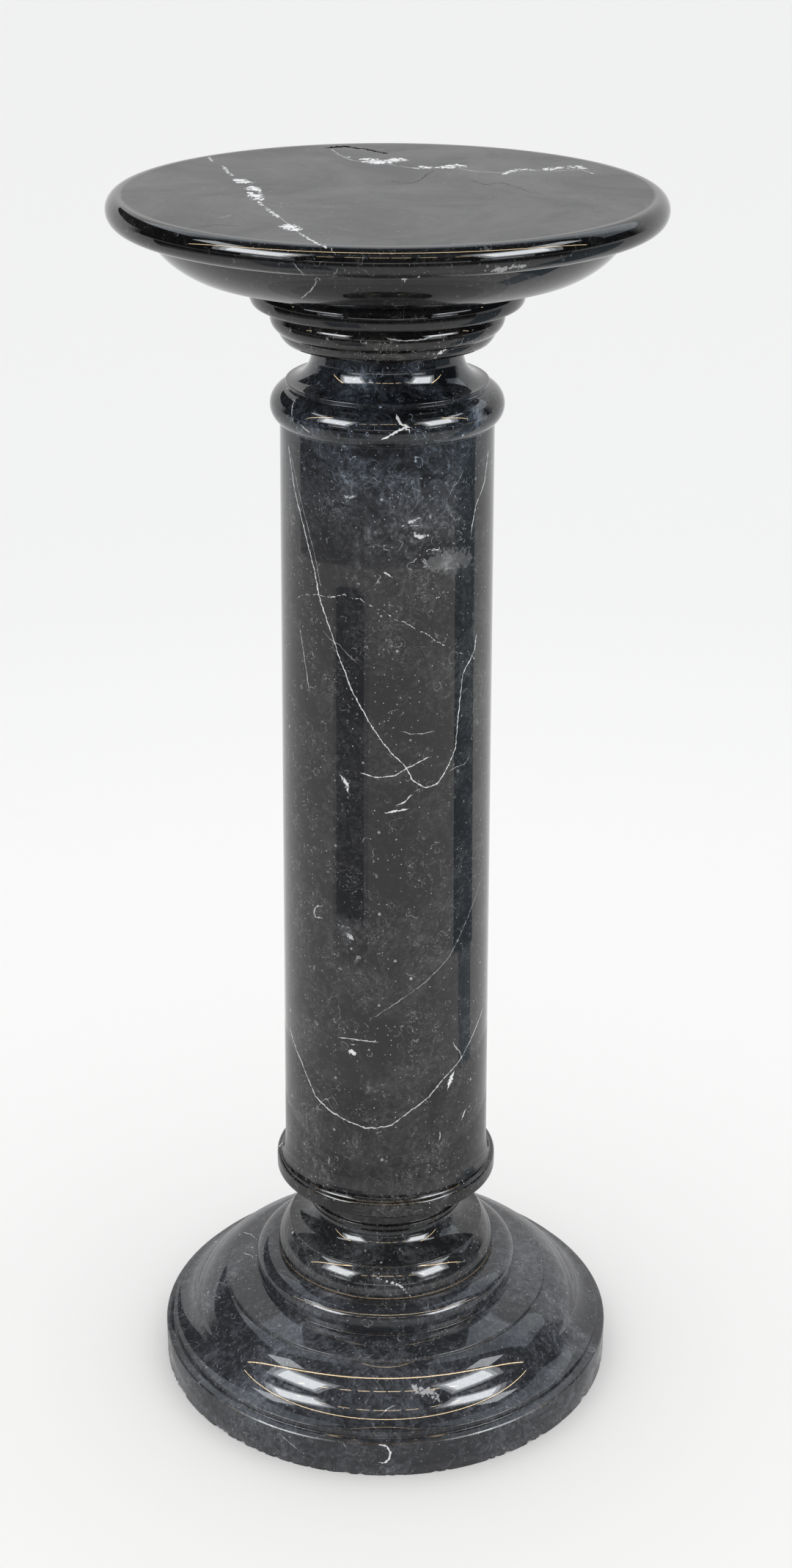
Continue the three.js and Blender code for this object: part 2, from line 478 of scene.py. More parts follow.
# Clouds of paler stone, and on the shaft's necking and astragal partly painted highlights: pixel,
# radius in millimetres, and strength, negative for a darker place
SHAFT_CLOUDS_AND_HIGHLIGHTS = [
    ((470, 650), 20, 0.5), ((540, 655), 24, 0.55), ((600, 640), 24, 0.6), ((560, 720), 26, 0.8),
    ((500, 735), 22, 0.6), ((620, 705), 22, 0.6), ((612, 764), 13, 1.5), ((560, 790), 20, 0.5),
    ((590, 820), 20, 0.35), ((640, 775), 13, 0.7), ((652, 567), 9, 1.6), ((472, 1272), 10, 0.5),
    ((530, 1470), 24, 0.15), ((500, 1575), 30, 0.12), ((440, 1590), 24, 0.1),
    ((600, 1600), 22, 0.1), ((480, 1440), 22, 0.1), ((430, 1000), 30, -0.2),
    ((530, 1300), 50, -0.2), ((530, 1500), 50, -0.25), ((522, 1405), 17, -0.9),
    ((520, 1450), 13, -0.8), ((460, 1350), 18, 0.3), ((505, 1487), 9, 0.8), ((482, 1565), 10, 0.8),
    ((600, 1567), 8, 0.8), ((560, 1260), 18, 0.3), ((600, 1590), 12, 0.5), ((440, 1600), 14, 0.5),
    ((480, 900), 30, -0.3), ((520, 1200), 26, -0.15), ((545, 1420), 12, -0.5),
    ((420, 700), 24, -0.1), ((500, 590), 26, 0.2), ((585, 930), 30, 0.15),
    # Partly paler stone and partly painted highlight: these clouds on the necking and astragal lie
    # in pairs either side of the middle, where the lamps' reflections fall.
    ((500, 515), 16, 1.0), ((560, 515), 16, 1.1), ((470, 545), 14, 0.8), ((600, 545), 16, 0.9),
    ((530, 548), 14, 0.5), ((490, 590), 14, 0.5), ((570, 595), 14, 0.5), ((420, 575), 10, 0.4),
]
PLINTH_CLOUDS = [
    ((300, 1760), 26, 0.5), ((270, 1830), 20, -0.4), ((420, 1800), 26, 0.4),
    ((560, 1820), 30, 0.5), ((590, 1885), 16, 0.5), ((350, 1900), 26, 0.5),
    ((720, 1800), 16, -0.6), ((660, 1900), 30, 0.3), ((470, 1985), 40, -0.3),
]
BASE_TORUS_CLOUDS = [((560, 1710), 16, 0.6), ((500, 1712), 12, 0.3)]
TOP_CLOUDS = [((640, 330), 40, 0.2)]
CAPITAL_CLOUDS = [((610, 478), 16, 0.6), ((520, 480), 20, 0.3)]

# A vertex keeps a vein's width within this distance of it, or within this many half widths
VEIN_REACH = 14 / 3 * MM
REACH_IN_WIDTHS = 1.3

# How long a vein's ends taper, and a distance in millimetres beyond the whole column
VEIN_TAPER = 4 * MM
FAR_AWAY = 1000

# How far a cloud spreads, as a share of its radius
CLOUD_SPREAD = 0.6


def surface_path(pixels, tree):
    """The points of the surface that the camera sees at the given pixels, with their normals."""
    points = []
    for x, y in pixels:
        place, normal, _, _ = tree.ray_cast(*pixel_ray(x, y))
        if place is not None:
            points.append((np.array(place), np.array(normal)))
    return points


def vertex_places(mesh):
    """The places of a mesh's vertices, one to a row."""
    places = np.empty(len(mesh.vertices) * 3)
    mesh.vertices.foreach_get("co", places)
    return places.reshape(-1, 3)


def add_vein_layer(mesh, name, veins, tree):
    """Keeps for each vertex its signed distance from the nearest vein in millimetres, the vein's
    half width, and its kind plus its whiteness. The width is 0 out of reach and past its ends.
    """
    places = vertex_places(mesh)
    nearest = np.full(len(places), FAR_AWAY * MM)
    field = np.zeros((len(places), 3))
    field[:, 0] = FAR_AWAY
    for kind, half_width, whiteness, pixels in veins:
        path = surface_path(pixels, tree)
        total = sum(np.linalg.norm(b[0] - a[0]) for a, b in zip(path, path[1:]))
        taper = min(VEIN_TAPER, total / 2)
        reach = max(VEIN_REACH, half_width * REACH_IN_WIDTHS * MM)
        run = 0.0
        for (start, normal_a), (end, normal_b) in zip(path, path[1:]):
            step = end - start
            length = np.linalg.norm(step)
            along = np.clip(((places - start) @ step) / length ** 2, 0, 1)
            offset = places - (start + along[:, None] * step)
            distance = np.linalg.norm(offset, axis=1)
            side = np.sign(offset @ np.cross(step, normal_a + normal_b))
            travelled = run + along * length
            to_end = np.minimum(travelled, total - travelled)
            width = half_width * np.clip(to_end / taper, 0, 1) ** 0.5
            closer = distance < nearest
            nearest[closer] = distance[closer]
            field[closer, 0] = (distance * side)[closer] / MM
            field[closer, 1] = np.where(distance < reach, width, 0)[closer]
            field[closer, 2] = kind + whiteness
            run += length
    layer = mesh.attributes.new(name, "FLOAT_VECTOR", "POINT")
    layer.data.foreach_set("vector", field.ravel())


def add_clouds(mesh, clouds, tree):
    """Keeps for each vertex how much paler the stone is there. On the shaft's necking and astragal
    this paleness is partly a painted highlight.
    """
    places = vertex_places(mesh)
    veil = np.zeros(len(places))
    for pixel, radius, strength in clouds:
        for centre, _ in surface_path([pixel], tree):
            squared = ((places - centre) ** 2).sum(axis=1)
            veil += strength * np.exp(-squared / (2 * (radius * MM * CLOUD_SPREAD) ** 2))
    layer = mesh.attributes.new("clouds", "FLOAT", "POINT")
    layer.data.foreach_set("value", veil)


def draw_marks(mesh, veins, clouds, cracks=()):
    """Keeps a block's veins, cracks and clouds on its mesh."""
    tree = BVHTree.FromPolygons(
        [vertex.co for vertex in mesh.vertices],
        [tuple(face.vertices) for face in mesh.polygons],
    )
    for number, layer in enumerate(veins):
        add_vein_layer(mesh, f"veins_{number}", layer, tree)
    if cracks:
        add_vein_layer(mesh, "cracks", cracks, tree)
    add_clouds(mesh, clouds, tree)


# Stone

SEAM_BLACK = (0.003, 0.003, 0.003, 1)
CRACK_BLACK = (0.002, 0.002, 0.002, 1)
FOSSIL_GREY = (0.56, 0.57, 0.58, 1)
VEIN_WHITE = (0.74, 0.75, 0.76, 1)
CEMENT_TAN = (0.52, 0.40, 0.26, 1)
BLUISH_TINT = (0.86, 1.0, 1.2, 1)


class Graph:
    """Short forms for building a material's nodes."""

    def __init__(self, tree):
        self.tree = tree

    def node(self, kind, inputs=None, **settings):
        node = self.tree.nodes.new(kind)
        for name, value in settings.items():
            setattr(node, name, value)
        for name, value in (inputs or {}).items():
            self.put(node.inputs[name], value)
        return node

    def put(self, socket, value):
        if isinstance(value, bpy.types.NodeSocket):
            self.tree.links.new(value, socket)
        else:
            socket.default_value = value

    def math(self, operation, a, b=0.0, c=0.0, clamp=False):
        node = self.node("ShaderNodeMath", {0: a, 1: b, 2: c}, operation=operation)
        node.use_clamp = clamp
        return node.outputs[0]

    def vector_math(self, operation, a, b):
        node = self.node("ShaderNodeVectorMath", {0: a, 1: b}, operation=operation)
        return node.outputs["Vector"]

    def length(self, vector):
        node = self.node("ShaderNodeVectorMath", {0: vector}, operation="LENGTH")
        return node.outputs["Value"]

    def parts(self, vector):
        """The outputs for a vector's x, y and z."""
        return self.node("ShaderNodeSeparateXYZ", {0: vector}).outputs

    def noise(self, place, scale, detail, roughness=0.5, distortion=0.0):
        node = self.node("ShaderNodeTexNoise", {
            "Vector": place, "Scale": scale, "Detail": detail, "Roughness": roughness,
            "Distortion": distortion,
        })
        return node.outputs["Factor" if "Factor" in node.outputs else "Fac"]

    def bent(self, place, scale, detail, amount):
        """The place shifted by a noise, so that a pattern drawn there has uneven outlines."""
        noise = self.node("ShaderNodeTexNoise", {"Vector": place, "Scale": scale, "Detail": detail})
        shift = self.vector_math("MULTIPLY", noise.outputs["Color"], (amount, amount, amount))
        return self.vector_math("ADD", place, shift)

    def cells(self, place, scale):
        """The distance from the middle of a cell, and three random numbers for each cell."""
        node = self.node("ShaderNodeTexVoronoi", {"Vector": place, "Scale": scale})
        chances = self.node("ShaderNodeSeparateColor", {0: node.outputs["Color"]})
        return node.outputs["Distance"], chances.outputs

    def ramp(self, value, low, high, to_low=0.0, to_high=1.0):
        node = self.node("ShaderNodeMapRange", {
            "Value": value, "From Min": low, "From Max": high, "To Min": to_low,
            "To Max": to_high,
        }, interpolation_type="SMOOTHSTEP")
        return node.outputs["Result"]

    def stretch(self, place, scale):
        node = self.node("ShaderNodeMapping", {"Vector": place, "Scale": scale})
        return node.outputs["Vector"]

    def number_mix(self, share, a, b):
        node = self.node("ShaderNodeMix", data_type="FLOAT")
        self.put(node.inputs[0], share)
        self.put(node.inputs[2], a)
        self.put(node.inputs[3], b)
        return node.outputs[0]

    def mix(self, share, a, b, blend="MIX"):
        node = self.node("ShaderNodeMix", data_type="RGBA", blend_type=blend)
        self.put(node.inputs[0], share)
        self.put(node.inputs[6], a)
        self.put(node.inputs[7], b)
        return node.outputs[2]


def vein_mask(graph, name, place, shard_scale):
    """Where a layer's veins show. A vein is a solid ragged line, a row of beads or shards."""
    layer = graph.node("ShaderNodeAttribute", attribute_name=name)
    signed_distance, half_width, kind_and_whiteness = graph.parts(layer.outputs["Vector"])
    small = graph.noise(place, scale=230, detail=3, roughness=0.65)
    small = graph.math("MULTIPLY_ADD", small, 2.4, -1.2)
    large = graph.noise(place, scale=60, detail=4, roughness=0.7)
    large = graph.math("MULTIPLY_ADD", large, 1.0, -0.5)
    wander = graph.math("MULTIPLY_ADD", large, half_width, small)
    distance = graph.math("ABSOLUTE", graph.math("ADD", signed_distance, wander))
    swell = graph.ramp(graph.noise(place, scale=330, detail=2, roughness=0.6), 0.25, 0.75, 0.2, 1.6)
    width = graph.math("MAXIMUM", graph.math("MULTIPLY", half_width, swell), 0.0001)
    edge = graph.math("MINIMUM", graph.math("MULTIPLY", width, 0.5), 0.5)
    shown = graph.ramp(graph.math("DIVIDE", graph.math("SUBTRACT", width, distance), edge), 0, 1)
    present = graph.math("GREATER_THAN", half_width, 0.02)
    shown = graph.math("MULTIPLY", shown, present)
    beaded = graph.math("GREATER_THAN", kind_and_whiteness, BEADED - 0.5)
    shards = graph.math("GREATER_THAN", kind_and_whiteness, SHARDS - 0.5)
    beads = graph.ramp(graph.noise(place, scale=420, detail=2, roughness=0.6), 0.48, 0.60)
    broken = graph.number_mix(beaded, 1, beads)
    broken = graph.number_mix(shards, broken, shard_pieces(graph, place, shard_scale))
    kind = graph.math("MULTIPLY", graph.math("ADD", beaded, shards), 2)
    whiteness = graph.math("SUBTRACT", kind_and_whiteness, kind, clamp=True)
    return graph.math("MULTIPLY", graph.math("MULTIPLY", shown, broken), whiteness)


def shard_pieces(graph, place, scale):
    """Angular flakes of white calcite, some missing, with dark gaps between them."""
    moved = graph.bent(place, scale=130, detail=3, amount=0.012)
    _, chances = graph.cells(moved, scale)
    edges = graph.node("ShaderNodeTexVoronoi", {"Vector": moved, "Scale": scale},
                       feature="DISTANCE_TO_EDGE")
    kept = graph.math("LESS_THAN", chances[0], 0.74)
    return graph.math("MULTIPLY", graph.ramp(edges.outputs["Distance"], 0.03, 0.09), kept)


def filaments(graph, place, scale, width, gaps, share, distortion):
    """Thin curled threads, drawn where a noise passes through its middle value."""
    pattern = graph.noise(place, scale, detail=3, roughness=0.55, distortion=distortion)
    line = graph.ramp(graph.math("ABSOLUTE", graph.math("SUBTRACT", pattern, 0.5)), width, width / 5)
    kept = graph.ramp(graph.noise(place, gaps, detail=2), 1 - share, 1.06 - share)
    return graph.math("MULTIPLY", line, kept)


def fossil_rings(graph, place, scale, radius, width, share):
    """Broken rings and curls, the cut shells in the stone."""
    moved = graph.bent(place, scale=scale * 1.3, detail=2, amount=1.1 / scale)
    distance, chances = graph.cells(moved, scale)
    off = graph.math("ABSOLUTE", graph.math("SUBTRACT", distance, radius))
    line = graph.ramp(off, width, 0.0)
    kept = graph.math("LESS_THAN", chances[0], share)
    broken = graph.ramp(graph.noise(place, scale * 2.4, detail=2), 0.48, 0.58)
    shown = graph.math("MULTIPLY", graph.math("MULTIPLY", line, kept), broken)
    return graph.math("MULTIPLY", shown, chances[1])


def flecks(graph, place, scale, radius, share):
    """Small pale dots of uneven outline."""
    distance, chances = graph.cells(place, scale)
    ragged = graph.math("MULTIPLY_ADD", graph.noise(place, scale * 5, detail=2), 0.10, -0.05)
    dot = graph.ramp(graph.math("ADD", distance, ragged), radius, radius * 0.4)
    kept = graph.math("LESS_THAN", chances[0], share)
    return graph.math("MULTIPLY", graph.math("MULTIPLY", dot, kept), chances[1])


def ground_stone(graph, place, veil, dark, cloud, pale):
    """The stone without its marks: dark, clouded with paler stone and crossed by black seams."""
    broad = graph.noise(place, scale=11, detail=6, roughness=0.64, distortion=1.4)
    fine = graph.noise(place, scale=75, detail=8, roughness=0.76, distortion=2.2)
    grain = graph.noise(place, scale=380, detail=4, roughness=0.7)
    blend = graph.math("MULTIPLY_ADD", fine, 0.75, graph.math("MULTIPLY", broad, 0.55))
    blend = graph.math("MULTIPLY_ADD", graph.math("SUBTRACT", grain, 0.5), 0.30, blend)
    stirred = graph.math("MULTIPLY", veil, graph.math("MULTIPLY_ADD", fine, 1.6, -0.1))
    blend = graph.math("MULTIPLY_ADD", stirred, 0.22, blend)
    colour = graph.mix(graph.ramp(blend, 0.58, 0.80), dark, cloud)
    colour = graph.mix(graph.ramp(blend, 0.74, 0.98), colour, pale)
    seams = filaments(graph, place, scale=24, width=0.006, gaps=18, share=0.55, distortion=0.9)
    seams = graph.math("MULTIPLY", seams, graph.ramp(blend, 0.62, 0.76, 0.0, 0.85))
    return graph.mix(seams, colour, SEAM_BLACK)


def fossils(graph, place, veil, strength):
    """Curled threads, cut shells, flecks and dust. The cut shells are faint outside the clouds."""
    crowded = graph.ramp(veil, 0.0, 0.35, 0.6, 1.0)
    curls = filaments(graph, place, scale=85, width=0.009, gaps=26, share=0.46, distortion=1.6)
    rings = fossil_rings(graph, place, scale=125, radius=0.30, width=0.05, share=0.42)
    rings = graph.math("MULTIPLY", rings, crowded)
    arcs = fossil_rings(graph, place, scale=66, radius=0.33, width=0.026, share=0.36)
    arcs = graph.math("MULTIPLY", arcs, crowded)
    shells = flecks(graph, place, scale=85, radius=0.13, share=0.26)
    dust = flecks(graph, place, scale=300, radius=0.17, share=0.50)
    marks = graph.math("MULTIPLY", curls, 0.22)
    for mask, whiteness in ((rings, 0.7), (arcs, 0.7), (shells, 0.8), (dust, 1.0)):
        marks = graph.math("MAXIMUM", marks, graph.math("MULTIPLY", mask, whiteness))
    return graph.math("MULTIPLY", marks, strength, clamp=True)


def polish(graph, place, roughness):
    """The polished face. Its roughness wanders between two values, as if wiped downwards."""
    stretched = graph.stretch(place, (1, 1, 0.35))
    smudge = graph.noise(stretched, scale=24, detail=5, roughness=0.6)
    return graph.ramp(smudge, 0.35, 0.75, *roughness)


def worn_off(graph, place, rough, from_axis, radius, dull):
    """The roughness where the polish has worn off outside a radius."""
    outside = graph.ramp(from_axis, radius * MM, (radius + 2) * MM)
    wear = graph.noise(place, scale=45, detail=5, roughness=0.7)
    scuffs = graph.ramp(wear, 0.35, 0.7, dull * 0.45, dull * 1.3)
    return graph.number_mix(outside, rough, scuffs)


def rubbed_satin(graph, place, rough, from_axis, height, level, radius):
    """The roughness where the face above a level and within a radius is rubbed to a satin."""
    inside = graph.ramp(from_axis, radius * MM, (radius - 5) * MM)
    above = graph.math("GREATER_THAN", height, level * MM)
    streaks = graph.noise(place, scale=10, detail=7, roughness=0.72, distortion=0.6)
    satin = graph.ramp(streaks, 0.32, 0.72, 0.30, 0.40)
    return graph.number_mix(graph.math("MULTIPLY", inside, above), rough, satin)


def old_cement(graph, place, height, top):
    """Where old cement clings to the foot of a block, up to a height."""
    low = graph.ramp(height, (top + 0.15) * MM, top * MM)
    crumbs = graph.ramp(graph.noise(place, scale=350, detail=2), 0.3, 0.5, 0.35, 1.0)
    return graph.math("MULTIPLY", low, crumbs)


def face_bump(graph, place):
    """The slight waves and pits of a face polished by hand."""
    waves = graph.noise(place, scale=28, detail=2)
    pits = graph.noise(place, scale=700, detail=2)
    height = graph.math("MULTIPLY_ADD", pits, 0.02, waves)
    bump = graph.node("ShaderNodeBump", {
        "Strength": 0.35, "Distance": 0.12 * MM, "Height": height,
    })
    return bump.outputs[0]


def marble(name, offset, dark, cloud, pale, roughness, layers, fossil=1.0, cracked=False,
           rubbed=None, joint=None, worn=None, bluer=None, shard_scale=150):
    """Polished black marble. The offset moves the pattern, as each block is another stone.

    Roughness is the least and the greatest that the polish has. Layers is the number of layers
    of veins. Rubbed is a height and a radius: above the one and within the other the face is
    satin. Joint is the height up to which old cement clings to the foot of the block. Worn is a
    radius and a roughness: outside the one the polish has worn off to the other. Bluer is a pair
    of heights: the stone turns bluish between them, and stays so above. The flakes of a vein of
    shards are finer as the shard scale is larger.
    """
    material = bpy.data.materials.new(name)
    material.use_nodes = True
    tree = material.node_tree
    tree.nodes.clear()
    graph = Graph(tree)
    here = graph.node("ShaderNodeTexCoord").outputs["Object"]
    place = graph.vector_math("ADD", here, offset)
    x, y, height = graph.parts(here)
    from_axis = graph.length(graph.node("ShaderNodeCombineXYZ", {0: x, 1: y}).outputs[0])
    veil = graph.node("ShaderNodeAttribute", attribute_name="clouds").outputs["Fac"]

    colour = ground_stone(graph, place, veil, dark, cloud, pale)
    colour = graph.mix(fossils(graph, place, veil, fossil), colour, FOSSIL_GREY)
    if bluer is not None:
        start, full = bluer
        risen = graph.ramp(height, start * MM, full * MM)
        colour = graph.mix(risen, colour, BLUISH_TINT, blend="MULTIPLY")
    veins = vein_mask(graph, "veins_0", place, shard_scale)
    for layer in range(1, layers):
        mask = vein_mask(graph, f"veins_{layer}", place, shard_scale)
        veins = graph.math("MAXIMUM", veins, mask)
    colour = graph.mix(veins, colour, VEIN_WHITE)

    rough = polish(graph, place, roughness)
    if worn is not None:
        rough = worn_off(graph, place, rough, from_axis, *worn)
    if rubbed is not None:
        rough = rubbed_satin(graph, place, rough, from_axis, height, *rubbed)
    rough = graph.math("MULTIPLY_ADD", veins, 0.10, rough)
    gloss = 0.5
    if cracked:
        split = vein_mask(graph, "cracks", place, shard_scale)
        colour = graph.mix(split, colour, CRACK_BLACK)
        rough = graph.math("MULTIPLY_ADD", split, 0.6, rough)
        gloss = graph.math("MULTIPLY_ADD", split, -0.5, 0.5)
    if joint is not None:
        cement = old_cement(graph, place, height, joint)
        colour = graph.mix(cement, colour, CEMENT_TAN)
        rough = graph.number_mix(cement, rough, 0.8)

    shader = graph.node("ShaderNodeBsdfPrincipled", {
        "Base Color": colour, "Roughness": rough, "IOR": 1.52, "Specular IOR Level": gloss,
        "Normal": face_bump(graph, place),
    })
    graph.node("ShaderNodeOutputMaterial", {0: shader.outputs[0]})
    return material


# The five blocks

def chip_foot(mesh):
    """Chips along the lower edge of the plinth's rim. They only take stone away.

    A chip's half width is an angle in radians, and its depth is in millimetres.
    """
    chip_count = 120
    narrowest = 0.004
    widest = 0.022
    shallowest = 0.2
    deepest = 2.1
    reach = CHIP_RINGS[-1] * MM
    rim_inside = (FOOT_RADIUS - 2) * MM
    dice = random.Random(7)
    chips = []
    for _ in range(chip_count):
        chips.append((
            dice.uniform(-math.pi, math.pi),
            dice.uniform(narrowest, widest),
            dice.uniform(shallowest, deepest) * MM,
        ))
    for vertex in mesh.vertices:
        x, y, z = vertex.co
        radius = math.hypot(x, y)
        if z > reach or radius < rim_inside:
            continue
        bearing = math.atan2(y, x)
        cut = 0
        for centre, half_angle, depth in chips:
            off = abs((bearing - centre + math.pi) % (2 * math.pi) - math.pi)
            if off < half_angle:
                cut = max(cut, depth * (1 - (off / half_angle) ** 2))
        inward = 1 - cut * (1 - z / reach) / radius
        vertex.co = (x * inward, y * inward, z)


def place_block(node, mesh, material):
    """Lets a turned block stand for its CAD node."""
    mesh.polygons.foreach_set("use_smooth", [True] * len(mesh.polygons))
    mesh.materials.append(material)
    piece = bpy.data.objects.new(node + "_stone", mesh)
    bpy.context.scene.collection.objects.link(piece)
    weigh = piece.modifiers.new("normals", "WEIGHTED_NORMAL")
    weigh.mode = "FACE_AREA"
    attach(piece, "root")
    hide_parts(node)


def make_plinth(bed):
    mesh = turned_mesh("plinth_stone", plinth_profile(), bed, PLINTH_SIDES)
    draw_marks(mesh, PLINTH_VEINS, PLINTH_CLOUDS)
    chip_foot(mesh)
    place_block("plinth", mesh, marble(
        "plinth_marble",
        offset=(3.1, 0.4, 7.7),
        dark=(0.022, 0.023, 0.026, 1),
        cloud=(0.074, 0.079, 0.091, 1),
        pale=(0.20, 0.215, 0.245, 1),
        roughness=(0.02, 0.06),
        layers=len(PLINTH_VEINS),
        fossil=0.8,
        worn=(FOOT_RADIUS - 4, 0.3),
    ))


def make_base_torus(bed):
    mesh = turned_mesh("base_torus_stone", base_torus_profile(), bed)
    draw_marks(mesh, BASE_TORUS_VEINS, BASE_TORUS_CLOUDS)
    place_block("base_torus", mesh, marble(
        "base_torus_marble",
        offset=(9.3, 2.2, 1.9),
        dark=(0.017, 0.0175, 0.0185, 1),
        cloud=(0.064, 0.067, 0.072, 1),
        pale=(0.17, 0.18, 0.195, 1),
        roughness=(0.02, 0.045),
        layers=len(BASE_TORUS_VEINS),
        joint=PLINTH_HEIGHT + 1.2,
    ))


def make_shaft(bed):
    mesh = turned_mesh("shaft_stone", shaft_profile(), bed)
    draw_marks(mesh, SHAFT_VEINS, SHAFT_CLOUDS_AND_HIGHLIGHTS)
    place_block("shaft", mesh, marble(
        "shaft_marble",
        offset=(5.7, 8.1, 4.4),
        dark=(0.006, 0.0056, 0.0056, 1),
        cloud=(0.034, 0.034, 0.035, 1),
        pale=(0.15, 0.156, 0.162, 1),
        roughness=(0.02, 0.055),
        layers=len(SHAFT_VEINS),
        bluer=(700, 800),
    ))


def make_capital(bed):
    mesh = turned_mesh("capital_stone", capital_profile(), bed)
    draw_marks(mesh, CAPITAL_VEINS, CAPITAL_CLOUDS)
    place_block("capital", mesh, marble(
        "capital_marble",
        offset=(1.3, 6.6, 2.8),
        dark=(0.003, 0.0028, 0.0026, 1),
        cloud=(0.016, 0.0145, 0.013, 1),
        pale=(0.11, 0.11, 0.11, 1),
        roughness=(0.02, 0.05),
        layers=len(CAPITAL_VEINS),
        fossil=1.2,
    ))


def make_top_plate(bed):
    mesh = turned_mesh("top_plate_stone", top_plate_profile(), bed)
    draw_marks(mesh, TOP_VEINS, TOP_CLOUDS, TOP_CRACKS)
    place_block("top_plate", mesh, marble(
        "top_plate_marble",
        offset=(7.9, 3.3, 9.1),
        dark=(0.003, 0.003, 0.003, 1),
        cloud=(0.009, 0.009, 0.009, 1),
        pale=(0.05, 0.05, 0.05, 1),
        roughness=(0.012, 0.03),
        layers=len(TOP_VEINS),
        fossil=0.35,
        cracked=True,
        rubbed=(COLUMN_HEIGHT - 0.6, TOP_RADIUS - 8.5),
        shard_scale=95,
    ))


def make_column():
    """Stands the blocks one on another, from the floor up."""
    bed = 0
    for make_block, height in (
        (make_plinth, PLINTH_HEIGHT),
        (make_base_torus, BASE_TORUS_HEIGHT),
        (make_shaft, SHAFT_HEIGHT),
        (make_capital, CAPITAL_HEIGHT),
        (make_top_plate, TOP_PLATE_HEIGHT),
    ):
        make_block(bed)
        bed += height


# Studio, in metres

CEILING = 2.6
FLAG_HEIGHT = 0.002
COOL = (0.94, 0.97, 1)
BLUISH = (0.88, 0.94, 1)
BLUE = (0.80, 0.90, 1)
WARM = (1, 0.76, 0.46)
WARM_WHITE = (1, 0.98, 0.95)


def grey(tone):
    return (tone, tone, tone, 1)


def make_floor():
    """A wide pale floor with painted light: paler near the column to lift the column's shade on it,
    and a little darker further off.
    """
    radius = 14
    sides = 96
    turns = [2 * math.pi * i / sides for i in range(sides)]
    rim = [(radius * math.cos(turn), radius * math.sin(turn), 0) for turn in turns]
    mesh = bpy.data.meshes.new("floor")
    mesh.from_pydata(rim, [], [tuple(range(sides))])
    material = bpy.data.materials.new("floor_paper")
    material.use_nodes = True
    graph = Graph(material.node_tree)
    place = graph.node("ShaderNodeTexCoord").outputs["Object"]
    # Painted light: the floor's colour is paler near the column, which offsets the shade that the
    # column casts there.
    away = graph.ramp(graph.length(place), 0.2, 2.2)
    tone = graph.mix(away, (0.836, 0.835, 0.831, 1), (0.755, 0.757, 0.761, 1))
    smear = graph.noise(place, scale=3.5, detail=4, roughness=0.6)
    tone = graph.mix(graph.ramp(smear, 0.62, 0.8, 0, 0.05), tone, grey(0.6))
    shader = material.node_tree.nodes["Principled BSDF"]
    graph.put(shader.inputs["Base Color"], tone)
    shader.inputs["Roughness"].default_value = 0.7
    shader.inputs["Specular IOR Level"].default_value = 0.2
    mesh.materials.append(material)
    floor = bpy.data.objects.new("floor", mesh)
    bpy.context.scene.collection.objects.link(floor)


def sector(start, end, near, far):
    """Corners of a sheet between two bearings from the front, in degrees, and two distances."""
    longest_turn = 6
    steps = max(1, round(abs(end - start) / longest_turn))
    bearings = [math.radians(start + (end - start) * i / steps) for i in range(steps + 1)]
    inner = [(near * math.sin(angle), -near * math.cos(angle)) for angle in bearings]
    outer = [(far * math.sin(angle), -far * math.cos(angle)) for angle in bearings]
    return inner + outer[::-1]


def make_flag(name, corners, tone, height=FLAG_HEIGHT):
    """A level sheet, dark or grey, that only reflections show."""
    mesh = bpy.data.meshes.new(name)
    mesh.from_pydata([(x, y, height) for x, y in corners], [], [tuple(range(len(corners)))])
    material = bpy.data.materials.new(name)
    material.use_nodes = True
    shader = material.node_tree.nodes["Principled BSDF"]
    shader.inputs["Base Color"].default_value = tone
    shader.inputs["Roughness"].default_value = 0.9
    mesh.materials.append(material)
    flag = bpy.data.objects.new(name, mesh)
    flag.visible_camera = False
    flag.visible_diffuse = False
    flag.visible_shadow = False
    flag.visible_transmission = False
    bpy.context.scene.collection.objects.link(flag)


def make_flags():
    """Sheets on the floor for the dark parts of the room, grey rings around the column's foot that
    paint the floor's shade into the reflections, and one under the ceiling.
    """
    # Painted shade: two grey rings around the foot, seen only in reflections, darken the floor near
    # the column as its shade would.
    for start in (-180, 0):
        shade_ring = sector(start, start + 180, near=0.185, far=0.42)
        make_flag(f"flag_near_{start}", shade_ring, grey(0.52))
        shade_ring_edge = sector(start, start + 180, near=0.42, far=0.55)
        make_flag(f"flag_near_edge_{start}", shade_ring_edge, grey(0.66))
    left = sector(-19, -59, near=0.8, far=2.0)
    make_flag("flag_left", left, (0.60, 0.61, 0.64, 1))
    left_middle = sector(-24, -55, near=0.9, far=2.0)
    make_flag("flag_left_middle", left_middle, (0.23, 0.25, 0.30, 1), FLAG_HEIGHT + 0.001)
    right = sector(77, 107, near=0.8, far=5)
    make_flag("flag_right", right, (0.17, 0.23, 0.28, 1))
    right_near = sector(84, 104, near=0.55, far=0.8)
    make_flag("flag_right_near", right_near, (0.34, 0.40, 0.46, 1))
    for near, far, tone in ((2.1, 2.5, 0.36), (2.5, 3.0, 0.16), (3.0, 3.6, 0.06), (3.6, 9, 0.02)):
        front = sector(-105, 76.5, near, far)
        make_flag(f"flag_front_{near}", front, (tone, tone * 1.05, tone * 1.15, 1))
    behind_left = [(-7, 0.35), (-1.7, 0.35), (-1.7, 5), (-7, 5)]
    make_flag("flag_above", behind_left, grey(0.01), CEILING)


